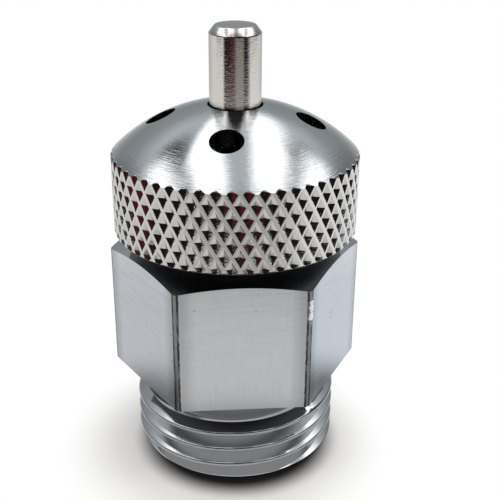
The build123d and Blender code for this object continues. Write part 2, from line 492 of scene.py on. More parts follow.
@dataclass(frozen=True)
class PlatedFinish:
    """Plated metal with the lathe's lines under the plating."""

    name: str
    tint: Triple
    roughness: float
    line_pitch: float = 0.1
    line_depth: float = 0.0005
    line_sweep: float = 2.0
    line_range: Span = (0.2, 0.8)
    rough_share: Span = (0.8, 1.2)

    def material(self, groups: Groups) -> Material:
        """Builds the material.

        Args:
            groups: Shared node groups.

        Returns:
            The material.
        """
        material, sheet = new_material(self.name)
        lines = sheet.add(
            "Group",
            {"Place": sheet.place(), "Pitch": self.line_pitch, "Sweep": self.line_sweep},
            node_tree=groups.turned,
        )
        height = lines.outputs["Height"]
        rough = sheet.span(
            height, *self.line_range, *(self.roughness * share for share in self.rough_share)
        )
        look = {"Base Color": (*self.tint, 1.0), "Metallic": 1.0, "Roughness": rough}
        sheet.surface(height, self.line_depth, look)
        return material


@dataclass(frozen=True)
class FlatFinish:
    """Plated flats of the hexagonal bar: drawing marks, dark corners, small pits and a worn spot.

    Angles are in degrees from the middle of a flat, which ends at 30.
    """

    name: str
    tint: Triple
    roughness: float
    rough_share: Span = (0.85, 1.15)
    mark_scale: Triple = (0.3, 0.3, 4.5)
    mark_height: float = 0.1
    bump_depth: float = 0.01
    grain_scale: Triple = (4.0, 4.0, 0.4)
    grain_shade: float = 0.965
    scored_heights: Span = (9.0, 20.0)
    scored_depths: Span = (0.015, 0.08)
    nick_scale: Triple = (0.6, 0.6, 1.1)
    nick_bend: float = 0.35
    nick_spacing: float = 1.2
    nick_size: float = 0.1
    nick_heights: Span = (12.0, 14.0)
    nick_depth: float = 0.5
    corner_wander: float = 0.014
    corner_darkening_angles: Span = (21.0, 28.4)
    corner_darkening_shade: float = 0.74
    line_angle: float = 28.9
    line_widths: Span = (0.3, 0.65)
    line_shades: Span = (0.35, 0.08)
    ridge_angles: Span = (29.1, 29.6)
    ridge_shade: float = 0.55
    spot_scale: Triple = (1.0, 1.0, 0.25)
    spot_centre: Triple = (6.45, -10.85, 4.85)
    spot_edge: Span = (0.34, 0.22)
    spot_ragged: float = 0.8
    spot_tint: Triple = (0.95, 0.95, 0.95)
    spot_rough: float = 0.3

    def material(self, groups: Groups) -> Material:
        """Builds the material.

        Args:
            groups: Shared node groups.

        Returns:
            The material.
        """
        material, sheet = new_material(self.name)
        place = sheet.place()
        height = sheet.axes(place)[2]
        marks = sheet.noise(sheet.stretched(place, self.mark_scale), 1.0, 3.0)
        grain = sheet.noise(sheet.stretched(place, self.grain_scale), 1.0, 2.0)
        nicks = self._nicks(sheet, groups, place)
        nicks = sheet.product(nicks, sheet.span(height, *self.nick_heights))
        uneven = sheet.math("SUBTRACT", marks, 0.5)
        spot = sheet.distance(sheet.stretched(place, self.spot_scale), self.spot_centre)
        ragged = sheet.math("MULTIPLY_ADD", uneven, self.spot_ragged, spot)
        bare = sheet.span(ragged, *self.spot_edge)
        corner_darkening, strip = self._corners(sheet, place, uneven)
        scored = sheet.product(
            sheet.span(marks, 0.6, 0.35),
            sheet.span(height, *self.scored_heights, *self.scored_depths),
        )
        shade = sheet.product(
            corner_darkening,
            sheet.span(grain, 0.35, 0.65, self.grain_shade, 1.0),
            sheet.math("MAXIMUM", strip, bare),
            sheet.rest(scored),
            sheet.rest(sheet.product(nicks, self.nick_depth)),
        )
        colour = sheet.tones(bare, sheet.tones(shade, BLACK, self.tint), self.spot_tint)
        rough = sheet.span(marks, 0.3, 0.7, *(self.roughness * share for share in self.rough_share))
        rough = sheet.math("ADD", rough, sheet.product(bare, self.spot_rough))
        bumps = sheet.math("SUBTRACT", sheet.product(marks, self.mark_height), nicks)
        look = {"Base Color": colour, "Metallic": 1.0, "Roughness": rough}
        sheet.surface(bumps, self.bump_depth, look)
        return material

    def _nicks(self, sheet: NodeSheet, groups: Groups, place: NodeSocket) -> NodeSocket:
        """Adds the small nicks.

        Args:
            sheet: Sheet of the material.
            groups: Shared node groups.
            place: Place in millimetres.

        Returns:
            The nicks' mask.
        """
        stir = sheet.noise(place, 3.5, 1.0, "Color")
        bent = sheet.add(
            "VectorMath",
            {0: stir, 1: (self.nick_bend,) * 3, 2: sheet.stretched(place, self.nick_scale)},
            operation="MULTIPLY_ADD",
        )
        nicks = sheet.add(
            "Group",
            {
                "Place": bent.outputs[0],
                "Spacing": self.nick_spacing,
                "Size": self.nick_size,
                "Share": 1.0,
            },
            node_tree=groups.specks,
        )
        return nicks.outputs["Mask"]

    def _corners(
        self, sheet: NodeSheet, place: NodeSocket, uneven: NodeSocket
    ) -> tuple[NodeSocket, NodeSocket]:
        """Adds the darker strips along the hexagon's corners.

        Args:
            sheet: Sheet of the material.
            place: Place in millimetres.
            uneven: Unevenness about 0, which makes the strips wander.

        Returns:
            The shade of the broad darkening towards the corners and the shade of the thin line.
        """
        x, y, _ = sheet.axes(place)
        around = sheet.math("FLOORED_MODULO", sheet.math("ARCTAN2", y, x), pi / 3)
        aside = sheet.math("ABSOLUTE", sheet.math("SUBTRACT", around, pi / 6))
        aside = sheet.math("ADD", aside, sheet.product(uneven, self.corner_wander))
        # Broad darkening towards each corner of the flats.
        corner_darkening = sheet.span(aside, *map(radians, self.corner_darkening_angles), 1.0, self.corner_darkening_shade)
        depth = sheet.span(sheet.noise(place, 0.7, 3.0), 0.35, 0.6, *self.line_shades)
        inner, outer = map(radians, self.line_widths)
        off = sheet.math("ABSOLUTE", sheet.math("SUBTRACT", aside, radians(self.line_angle)))
        line = sheet.add("MapRange", {0: off, 1: inner, 2: outer, 3: depth, 4: 1.0})
        ridge = sheet.span(aside, *map(radians, self.ridge_angles), 1.0, self.ridge_shade)
        return corner_darkening, sheet.product(line.outputs["Result"], ridge)


@dataclass(frozen=True)
class SoftFinish:
    """Moulded rubber with a fine matt grain."""

    name: str
    tint: Triple
    roughness: float
    rough_share: Span = (0.85, 1.0)
    grain_scale: float = 9.0
    grain_depth: float = 0.02

    def material(self) -> Material:
        """Builds the material.

        Returns:
            The material.
        """
        material, sheet = new_material(self.name)
        grain = sheet.noise(sheet.place(), self.grain_scale, 4.0)
        rough = sheet.span(grain, 0.3, 0.7, *(self.roughness * share for share in self.rough_share))
        look = {"Base Color": (*self.tint, 1.0), "Roughness": rough}
        sheet.surface(grain, self.grain_depth, look)
        return material


@dataclass
class ValveBody:
    """Hexagonal body with the male pipe thread, the neck and the spigot for the cap."""

    across_flats: float = 22.0
    corner_round: float = 0.6
    corner_steps: int = 6
    hex_bottom: float = 8.9
    hex_corner: float = 21.4
    chamfer_angle: float = 19.0
    thread_r: float = 10.4775
    thread_pitch: float = 1.814
    thread_depth: float = 1.162
    flank_angle: float = 27.5
    root_flat: float = 0.3
    crest_height: float = 1.9
    crest_round: float = 0.13
    crest_steps: int = 4
    rod_turns: int = 10
    rod_lead: float = 3.75
    rod_ends: Span = (-0.7, 9.5)
    thread_end: float = 5.9
    lead_in: float = 0.6
    clearance: float = 0.05
    shoulder_round: float = 0.3
    shoulder_steps: int = 6
    neck_r: float = 9.3
    neck_overlap: float = 0.5
    spigot_r: float = 9.0
    spigot_top: float = 28.6
    spigot_chamfer: float = 0.5
    flow_path: tuple[Span, ...] = (
        (0.0, -1.0), (8.65, -1.0), (7.25, 0.4), (7.25, 2.0), (7.75, 2.0), (7.75, 3.1),
        (7.25, 3.1), (7.25, 17.4), (5.3, 17.4), (5.3, 17.0), (4.5, 17.0), (4.5, 20.4),
        (6.5, 22.4), (6.5, 30.0), (0.0, 30.0),
    )
    turn_steps: int = 128
    bore_steps: int = 96
    crease: float = 28.0

    @property
    def spigot_end(self) -> tuple[Span, ...]:
        """Section of the spigot's upper end, from its side to the axis."""
        return (
            (self.spigot_r, self.spigot_top - self.spigot_chamfer),
            (self.spigot_r - self.spigot_chamfer, self.spigot_top),
            (0.0, self.spigot_top),
        )

    def threaded_rod(self) -> BMesh:
        """Builds a rod with the thread's form all along it.

        Returns:
            The rod, from below the valve's end to above the neck.
        """
        rise = self.thread_depth * tan(radians(self.flank_angle))
        half_crest = self.thread_pitch / 2 - self.root_flat / 2 - rise
        root_r = self.thread_r - self.thread_depth
        start = self.crest_height - self.rod_lead * self.thread_pitch
        form = TurnedProfile(root_r, start - self.thread_pitch / 2)
        form.lines_to(
            (root_r, start - half_crest - rise),
            (self.thread_r, start - half_crest),
            (self.thread_r, start + half_crest),
            (root_r, start + half_crest + rise),
            (root_r, start + self.thread_pitch / 2),
        )
        rod = form.mesh
        steps = self.turn_steps * self.rod_turns
        spun(rod, 2 * pi * self.rod_turns, steps, self.thread_pitch / self.turn_steps)
        bmesh.ops.remove_doubles(rod, verts=rod.verts, dist=1e-4)
        crests = [
            edge
            for edge in edges_where(rod, lambda at: abs(at.xy.length - self.thread_r) < NEAR)
            if len(edge.link_faces) == 2 and edge.calc_face_angle(0.0) > 0.5
        ]
        rounded(rod, crests, self.crest_round, self.crest_steps)
        for height, side in zip(self.rod_ends, (-1.0, 1.0)):
            cut_off(rod, height, side)
        return capped(rod)

    def threaded_end(self) -> BMesh:
        """Builds the threaded end.

        Returns:
            The end with its lead-in, run-out and neck.
        """
        outer_r = self.thread_r + self.clearance
        run_out = (self.thread_r - self.neck_r) * tan(radians(self.flank_angle))
        neck_top = self.hex_bottom + self.neck_overlap
        envelope = TurnedProfile(0.0, 0.0).lines_to(
            (self.thread_r - self.lead_in, 0.0),
            (outer_r, self.lead_in + self.clearance),
            (outer_r, self.thread_end),
            (self.neck_r, self.thread_end + run_out),
            (self.neck_r, neck_top),
            (0.0, neck_top),
        )
        blank = envelope.turn(self.turn_steps)
        shoulder = edges_where(
            blank,
            lambda at: abs(at.z - self.thread_end) < NEAR
            and abs(at.xy.length - self.thread_r) < 2 * self.clearance,
        )
        rounded(blank, shoulder, self.shoulder_round, self.shoulder_steps)
        return joined(blank, self.threaded_rod(), Join.KEEP_COMMON)

    def hexagon(self) -> BMesh:
        """Builds the hexagonal part.

        Returns:
            The bar with rounded corners and the turned cone on top.
        """
        corner_r = self.across_flats / sqrt(3)
        slope = tan(radians(self.chamfer_angle))
        cone_top = self.hex_corner + (corner_r - self.spigot_r) * slope
        bar = bmesh.new()
        bmesh.ops.create_circle(bar, segments=6, radius=corner_r, cap_ends=True)
        swung(bar, bar.verts, radians(30))
        lifted(bar, bar.verts, self.hex_bottom)
        made = bmesh.ops.extrude_face_region(bar, geom=bar.faces[:])
        top = [item for item in made["geom"] if isinstance(item, BMVert)]
        lifted(bar, top, cone_top + OVER - self.hex_bottom)
        tidied(bar)
        upright = [edge for edge in bar.edges if not level(edge, OVER)]
        rounded(bar, upright, self.corner_round * tan(radians(30)), self.corner_steps)
        cone = TurnedProfile(0.0, self.hex_bottom - OVER).lines_to(
            (corner_r + OVER, self.hex_bottom - OVER),
            (corner_r + OVER, self.hex_corner - OVER * slope),
            (self.spigot_r, cone_top),
            *self.spigot_end,
        )
        return joined(bar, cone.turn(self.turn_steps), Join.KEEP_COMMON)

    def spigot(self) -> BMesh:
        """Plain spigot that carries the cap."""
        foot = (self.spigot_r, self.hex_corner)
        form = TurnedProfile(0.0, self.hex_corner).lines_to(foot, *self.spigot_end)
        return form.turn(self.turn_steps)

    def bore(self) -> BMesh:
        """Flow path: inlet with the ring's groove, seat lip, orifice and upper chamber."""
        start, *points = self.flow_path
        return TurnedProfile(*start).lines_to(*points).turn(self.bore_steps)

    def build(self, turned: Material, flats: Material, matt_and_shaded: Material) -> Object:
        """Builds and dresses the body.

        Args:
            turned: Finish of the turned surfaces.
            flats: Finish of the hexagon's flats.
            matt_and_shaded: Finish of the hexagon's underside.

        Returns:
            The piece.
        """
        shell = joined(self.hexagon(), self.spigot(), Join.ADD)
        shell = joined(shell, self.threaded_end(), Join.ADD)
        shell = joined(shell, self.bore(), Join.CUT)
        tidied(shell)
        for face in shell.faces:
            middle = face.calc_center_median()
            on_bar = middle.xy.length > self.across_flats / 2 - 0.3 and abs(face.normal.z) < 0.2
            if on_bar and middle.z > self.hex_bottom:
                face.material_index = 1
            elif face.normal.z < -0.9 and abs(middle.z - self.hex_bottom) < 0.05:
                # Underside of the hexagon: a rougher finish, darkened as painted shade.
                face.material_index = 2
        piece = set_piece(shell, "body_shell", (turned, flats, matt_and_shaded), self.crease)
        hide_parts("valve_body")
        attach(piece, "body")
        return piece


@dataclass
class KnurledCap:
    """Domed cap with a band of diamond pits, four drain holes and the hole for the pin."""

    outer_r: float = 12.1
    bottom: float = 23.75
    edge: float = 31.5
    crown: float = 36.2
    rim_chamfer: float = 0.25
    dome_r: float = 17.0
    dome_steps: int = 48
    pin_hole_r: float = 2.7
    roof: float = 2.6
    cavity_r: float = 7.5
    bore_r: float = 9.05
    ledge: float = 29.6
    blank_over: float = 0.3
    pit_count: int = 53
    pit_period: float = 2.45
    pit_phase: float = 268.3
    pit_start: float = 21.82
    pit_depth: float = 0.36
    rising_band: float = 0.18
    falling_band: float = 0.32
    mouth_round: float = 0.04
    mouth_steps: int = 3
    drain_count: int = 4
    drain_d: float = 3.2
    drain_pcd: float = 14.6
    drain_clocking: float = 260.2
    drain_break: float = 0.07
    drill_depth: float = 4.0
    drill_steps: int = 72
    turn_steps: int = 256
    crease: float = 24.0

    @property
    def dome_centre(self) -> Vector:
        """Centre of the dome's arc in the section, which runs from the pin's hole to the edge."""
        rim = Vector((self.outer_r, self.edge))
        hole = Vector((self.pin_hole_r, self.crown))
        chord = rim - hole
        inward = Vector((chord.y, -chord.x)).normalized()
        return (rim + hole) / 2 + inward * sqrt(self.dome_r**2 - chord.length_squared / 4)

    def dome_z(self, radius: float) -> float:
        """Height of the dome's outside at a distance from the axis."""
        centre = self.dome_centre
        return centre.y + sqrt(self.dome_r**2 - (radius - centre.x) ** 2)

    def dome_tilt(self, radius: float) -> float:
        """Angle in radians of the dome's outside to the level at a distance from the axis."""
        return asin((radius - self.dome_centre.x) / self.dome_r)

    def turned_blank(self) -> BMesh:
        """Builds the turned cap with its bore and cavity.

        Returns:
            The blank, a little larger round the band than the pitted column.
        """
        over = self.outer_r + self.blank_over
        sweep = self.dome_tilt(over) - self.dome_tilt(self.pin_hole_r)
        hole_top = (self.pin_hole_r, self.dome_z(self.pin_hole_r))
        form = TurnedProfile(*hole_top).arc_about(self.dome_centre, sweep, self.dome_steps)
        form.lines_to(
            (over, self.bottom + self.rim_chamfer + self.blank_over),
            (self.outer_r - self.rim_chamfer, self.bottom),
            (self.bore_r, self.bottom),
            (self.bore_r, self.ledge),
            (self.cavity_r, self.ledge),
            (self.cavity_r, self.dome_z(self.cavity_r) - self.roof),
            (self.pin_hole_r, self.crown - self.roof),
            hole_top,
        )
        return form.turn(self.turn_steps)

    def pitted_column(self) -> BMesh:
        """Builds a column with diamond pits between crossing bands.

        Returns:
            The column, closed at both ends.
        """
        half_row = self.pit_period / 2
        rows = ceil((self.dome_z(self.outer_r) + half_row - self.pit_start) / half_row) + 1
        column = bmesh.new()
        bmesh.ops.create_circle(column, segments=2 * self.pit_count, radius=self.outer_r)
        first = column.verts[:][0].co
        swung(column, column.verts, radians(self.pit_phase) - atan2(first.y, first.x))
        lifted(column, column.verts, self.pit_start)
        ring = column.edges[:]
        for _ in range(rows):
            ring = self._raised(column, ring, half_row)
        crossings = [vert for vert in column.verts if self._at_crossing(vert)]
        middles = [
            vert for vert in column.verts if not self._at_crossing(vert) and not vert.is_boundary
        ]
        bmesh.ops.connect_verts(column, verts=crossings)
        bmesh.ops.dissolve_verts(column, verts=middles)
        diamonds = [face for face in column.faces if len(face.verts) == 4]
        bmesh.ops.inset_individual(
            column, faces=diamonds, thickness=self.rising_band / 2, use_even_offset=True
        )
        for diamond in diamonds:
            self._narrowed(column, diamond)
        made = bmesh.ops.poke(column, faces=diamonds, offset=-self.pit_depth)
        floors = set(made["verts"])
        sides = {edge for face in made["faces"] for edge in face.edges}
        mouths = [edge for edge in column.edges if edge in sides and not floors & set(edge.verts)]
        rounded(column, mouths, self.mouth_round, self.mouth_steps)
        top = max(vert.co.z for vert in column.verts)
        rim = edges_where(column, lambda at: abs(at.z - top) < NEAR)
        self._raised(column, rim, self.crown + 2 * OVER - top)
        return capped(column)

    def _at_crossing(self, vert: BMVert) -> bool:
        """Whether a point of the column's grid is where bands cross, not in a pit's middle.

        Args:
            vert: Point of the grid.

        Returns:
            True where bands cross.
        """
        turned = degrees(atan2(vert.co.y, vert.co.x)) - self.pit_phase
        around = round(turned * self.pit_count / 180.0)
        row = round((vert.co.z - self.pit_start) * 2 / self.pit_period)
        return (around + row) % 2 == 0

    def _narrowed(self, mesh: BMesh, diamond: BMFace) -> None:
        """Brings a diamond's two falling sides closer, which leaves the wider band between pits.

        Args:
            mesh: Mesh that holds the diamond.
            diamond: Face that becomes a pit.
        """
        low, *sides, high = sorted(diamond.verts, key=lambda vert: vert.co.z)
        middle = diamond.calc_center_median()
        eastward = Vector((-middle.y, middle.x, 0.0)).normalized()
        west, east = sorted(sides, key=lambda vert: (vert.co - middle).dot(eastward))
        rising = (east.co - low.co).normalized()
        falling = (east.co - high.co).normalized()
        skew = rising.cross(falling).length
        step = rising * (self.falling_band - self.rising_band) / 2 / skew
        bmesh.ops.translate(mesh, vec=-step, verts=[high, east])
        bmesh.ops.translate(mesh, vec=step, verts=[west, low])

    @staticmethod
    def _raised(mesh: BMesh, ring: Sequence[BMEdge], height: float) -> list[BMEdge]:
        """Extrudes a ring of edges upwards.

        Args:
            mesh: Mesh that holds the ring.
            ring: Edges of the ring.
            height: Height of the new row of faces.

        Returns:
            The edges of the new ring.
        """
        made = bmesh.ops.extrude_edge_only(mesh, edges=list(ring))["geom"]
        verts = [item for item in made if isinstance(item, BMVert)]
        lifted(mesh, verts, height)
        fresh = set(verts)
        return [item for item in made if isinstance(item, BMEdge) and set(item.verts) <= fresh]

    def drains(self) -> BMesh:
        """Builds the drills for the drain holes, square to the dome.

        Returns:
            The drills, flared where they break the holes' edges.
        """
        reach = self.drain_pcd / 2
        bit_r = self.drain_d / 2
        bit = TurnedProfile(0.0, -self.drill_depth).lines_to(
            (bit_r, -self.drill_depth),
            (bit_r, -self.drain_break),
            (bit_r + OVER + self.drain_break, OVER),
            (0.0, OVER),
        )
        drills = bit.turn(self.drill_steps)
        place = Matrix.Translation((reach, 0.0, self.dome_z(reach)))
        place = place @ Matrix.Rotation(self.dome_tilt(reach), 4, "Y")
        bmesh.ops.transform(drills, matrix=place, verts=drills.verts)
        first = drills.verts[:] + drills.edges[:] + drills.faces[:]
        swung(drills, drills.verts, radians(self.drain_clocking))
        for number in range(1, self.drain_count):
            made = bmesh.ops.duplicate(drills, geom=first)["geom"]
            verts = [item for item in made if isinstance(item, BMVert)]
            swung(drills, verts, radians(number * 360 / self.drain_count))
        return drills

    def build(self, domed: Material, knurled: Material, matt_and_shaded: Material) -> Object:
        """Builds and dresses the cap.

        Args:
            domed: Finish of the dome.
            knurled: Finish of the knurled band.
            matt_and_shaded: Finish of the underside and the bore.

        Returns:
            The piece.
        """
        shell = joined(self.turned_blank(), self.pitted_column(), Join.KEEP_COMMON)
        shell = joined(shell, self.drains(), Join.CUT)
        tidied(shell)
        for face in shell.faces:
            middle = face.calc_center_median()
            outside = middle.xy.length > self.outer_r - 0.5 and middle.z < self.edge + 0.1
            in_bore = middle.xy.length < self.bore_r + 0.1 and middle.z < self.ledge
            if outside and abs(face.normal.z) < 0.6:
                face.material_index = 1
            elif in_bore or face.normal.z < -0.5:
                # Underside and bore of the cap: a rougher finish, darkened as painted shade.
                face.material_index = 2
        piece = set_piece(shell, "cap_shell", (domed, knurled, matt_and_shaded), self.crease)
        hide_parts("knurled_cap")
        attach(piece, "cap")
        return piece


@dataclass
class PushPin:
    """Turned pin with a chamfered end and a thinner tail."""

    pin_r: float = 2.5
    top: float = 43.7
    chamfer_w: float = 0.55
    chamfer_h: float = 0.7
    end_round: float = 0.07
    end_steps: int = 4
    shoulder: float = 17.0
    tail_r: float = 2.0
    tail_end: float = 3.3
    tail_chamfer: float = 0.4
    turn_steps: int = 128
    crease: float = 30.0

    def build(self, finish: Material) -> Object:
        """Builds and dresses the pin.

        Args:
            finish: Finish of the pin.

        Returns:
            The piece.
        """
        form = TurnedProfile(0.0, self.tail_end).lines_to(
            (self.tail_r - self.tail_chamfer, self.tail_end),
            (self.tail_r, self.tail_end + self.tail_chamfer),
            (self.tail_r, self.shoulder),
            (self.pin_r, self.shoulder),
            (self.pin_r, self.top - self.chamfer_h),
            (self.pin_r - self.chamfer_w, self.top),
            (0.0, self.top),
        )
        shell = form.turn(self.turn_steps)
        low = self.top - self.chamfer_h - NEAR
        ends = [
            edge
            for edge in edges_where(shell, lambda at: at.z > low and at.xy.length > 0.5)
            if level(edge, 1e-4)
        ]
        rounded(shell, ends, self.end_round, self.end_steps)
        piece = set_piece(shell, "pin_shell", (finish,), self.crease)
        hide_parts("push_pin")
        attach(piece, "pin")
        return piece


@dataclass
class ReturnSpring:
    """Round-wire compression spring between the guide plate and the disc."""

    wire_r: float = 0.4
    wire_steps: int = 14
    coil_r: float = 4.8
    bottom: float = 4.0
    top: float = 13.6
    turns: int = 5
    travel: float = 3.0
    turn_steps: int = 48
    crease: float = 40.0

    def build(self, finish: Material) -> Object:
        """Builds and dresses the spring.

        Args:
            finish: Finish of the wire.

        Returns:
            The piece.
        """
        wire = bmesh.new()
        bmesh.ops.create_circle(wire, segments=self.wire_steps, radius=self.wire_r, cap_ends=False)
        swung(wire, wire.verts, radians(90), "X")
        start = Vector((self.coil_r, 0.0, self.bottom + self.wire_r))
        bmesh.ops.translate(wire, vec=start, verts=wire.verts)
        steps = self.turns * self.turn_steps
        rise = self.top - self.bottom - 2 * self.wire_r
        spun(wire, 2 * pi * self.turns, steps, rise / steps)
        piece = set_piece(capped(wire), "coil_spring", (finish,), self.crease)
        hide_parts("return_spring")
        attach(piece, "body")
        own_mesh(piece)
        return piece


def staged(mesh: BMesh, name: str, material: Material) -> Object:
    """Makes a stage object of a mesh in millimetres.

    Args:
        mesh: Mesh of the object, which is freed.
        name: Name of the object.
        material: Its material.

    Returns:
        The object.
    """
    thing = set_piece(mesh, name, (material,), STAGE_CREASE)
    return thing


def mirrored_only(thing: Object) -> None:
    """Leaves a stage object to reflections only.

    Args:
        thing: Stage object.
    """
    thing.visible_camera = False
    thing.visible_diffuse = False
    thing.visible_shadow = False
    thing.visible_transmission = False


def backdrop_rays(sheet: NodeSheet) -> NodeSocket:
    """Adds a mask of the rays that show the background.

    Args:
        sheet: Sheet of the material or world.

    Returns:
        The mask.
    """
    rays = sheet.add("LightPath").outputs
    shown = sheet.math("ADD", rays["Is Camera Ray"], rays["Is Glossy Ray"], clamp=True)
    return sheet.math("ADD", shown, rays["Is Transmission Ray"], clamp=True)


@dataclass(frozen=True)
class Floor:
    """Pale floor fading to the white backdrop, with a painted contact shadow and painted reflection
    tones.

    A reach is a distance from the valve's axis, and a turn runs from -1 in front to 1 behind. Pairs
    of colours are for the left and the right, or for the two ends of the reach or turn.
    """

    radius: float = 600.0
    steps: int = 96
    hands: Span = (-8.0, 8.0)
    paper: Triple = (0.9, 0.88, 0.85)
    paper_rough: float = 0.9
    paper_gloss: float = 0.1
    painted_contact_shadow: Triple = (0.015, 0.014, 0.013)
    painted_shadow_centre: Triple = (0.0, -2.4, 0.0)
    painted_shadow_edge: Span = (8.3, 11.4)
    fade_centre: Triple = (-1.5, -3.3, 0.0)
    fade_edge: Span = (9.5, 18.0)
    hollows: Pair = ((0.16, 0.16, 0.16), (0.62, 0.62, 0.62))
    hollow_reach: Span = (29.0, 35.0)
    slope: Triple = (0.8, 0.79, 0.78)
    sides: Pair = ((0.77, 0.79, 0.82), (0.84, 0.89, 0.96))
    side_turn: Span = (-0.45, -0.15)
    front: Triple = (0.82, 0.82, 0.815)
    front_turn: Span = (-0.7, -0.86)
    wides: Pair = ((0.9, 0.895, 0.88), (1.06, 1.055, 1.045))
    wide_reach: Span = (43.0, 66.0)
    wide_front: Triple = (0.52, 0.515, 0.505)
    wide_turn: Span = (-0.45, -0.97)
    fars: Pair = ((0.86, 0.855, 0.84), (0.6, 0.595, 0.585))
    far_turn: Span = (0.3, 0.9)
    far_reach: Span = (110.0, 150.0)
    shades: Pair = ((0.54, 0.54, 0.53), (0.14, 0.14, 0.14))
    shade_reach: Span = (15.5, 19.5)
    clear_front: Span = (19.0, 28.0)
    clear_starts: Span = (15.0, 9.5)
    clear_ends: Span = (19.0, 14.0)
    clear_turn: Span = (0.45, 0.1)

    def build(self) -> None:
        """Lays the floor."""
        material, sheet = new_material("pale_floor")
        place = sheet.place()
        rays = sheet.add("LightPath").outputs
        # Painted contact shadow: the paper's colour darkens towards the valve's foot.
        painted_shadow_share = sheet.span(sheet.distance(place, self.painted_shadow_centre), *self.painted_shadow_edge)
        paper = sheet.add(
            "BsdfPrincipled",
            {
                "Base Color": sheet.tones(painted_shadow_share, self.painted_contact_shadow, self.paper),
                "Roughness": self.paper_rough,
                "Specular IOR Level": self.paper_gloss,
            },
        )
        fade = sheet.span(sheet.distance(place, self.fade_centre), *self.fade_edge)
        fade = sheet.product(fade, backdrop_rays(sheet))
        # Glossy rays always see the glow: the painted reflection tones, not the lit paper.
        fade = sheet.math("MAXIMUM", fade, rays["Is Glossy Ray"])
        shown = sheet.tones(rays["Is Camera Ray"], self._painted_reflections(sheet, place), WHITE)
        mix = sheet.add("MixShader", {0: fade, 1: paper.outputs[0], 2: sheet.glow(shown)})
        sheet.add("OutputMaterial", {"Surface": mix.outputs[0]})
        disc = bmesh.new()
        bmesh.ops.create_circle(disc, segments=self.steps, radius=self.radius, cap_ends=True)
        staged(disc, "floor", material)

    def _painted_reflections(self, sheet: NodeSheet, place: NodeSocket) -> NodeSocket:
        """Adds the painted reflection tones, lighter and darker, that the metal mirrors.

        Args:
            sheet: Sheet of the material.
            place: Place in millimetres.

        Returns:
            The colour.
        """
        x, y, _ = sheet.axes(place)
        away = sheet.add("VectorMath", {0: place}, operation="LENGTH").outputs["Value"]
        turn = sheet.math("DIVIDE", y, away)
        hand = sheet.span(x, *self.hands)
        near = sheet.tones(hand, *self.hollows)
        near = sheet.tones(sheet.span(away, *self.hollow_reach), near, self.slope)
        near = sheet.tones(sheet.span(turn, *self.side_turn), near, sheet.tones(hand, *self.sides))
        near = sheet.tones(sheet.span(turn, *self.front_turn), near, self.front)
        wide = sheet.tones(hand, *self.wides)
        wide = sheet.tones(sheet.span(turn, *self.wide_turn), wide, self.wide_front)
        far = sheet.tones(sheet.span(turn, *self.far_turn), *self.fars)
        wide = sheet.tones(sheet.span(away, *self.far_reach), wide, far)
        lit = sheet.tones(sheet.span(away, *self.wide_reach), near, wide)
        start = sheet.span(x, *self.hands, *self.clear_starts)
        end = sheet.span(x, *self.hands, *self.clear_ends)
        clear = sheet.tones(
            sheet.span(turn, *self.clear_turn),
            sheet.span(away, start, end),
            sheet.span(away, *self.clear_front),
        )
        # Painted shade near the valve's foot as the metal mirrors it, cleared further out.
        shade = sheet.tones(sheet.span(away, *self.shade_reach), *self.shades)
        return sheet.tones(clear, shade, lit)


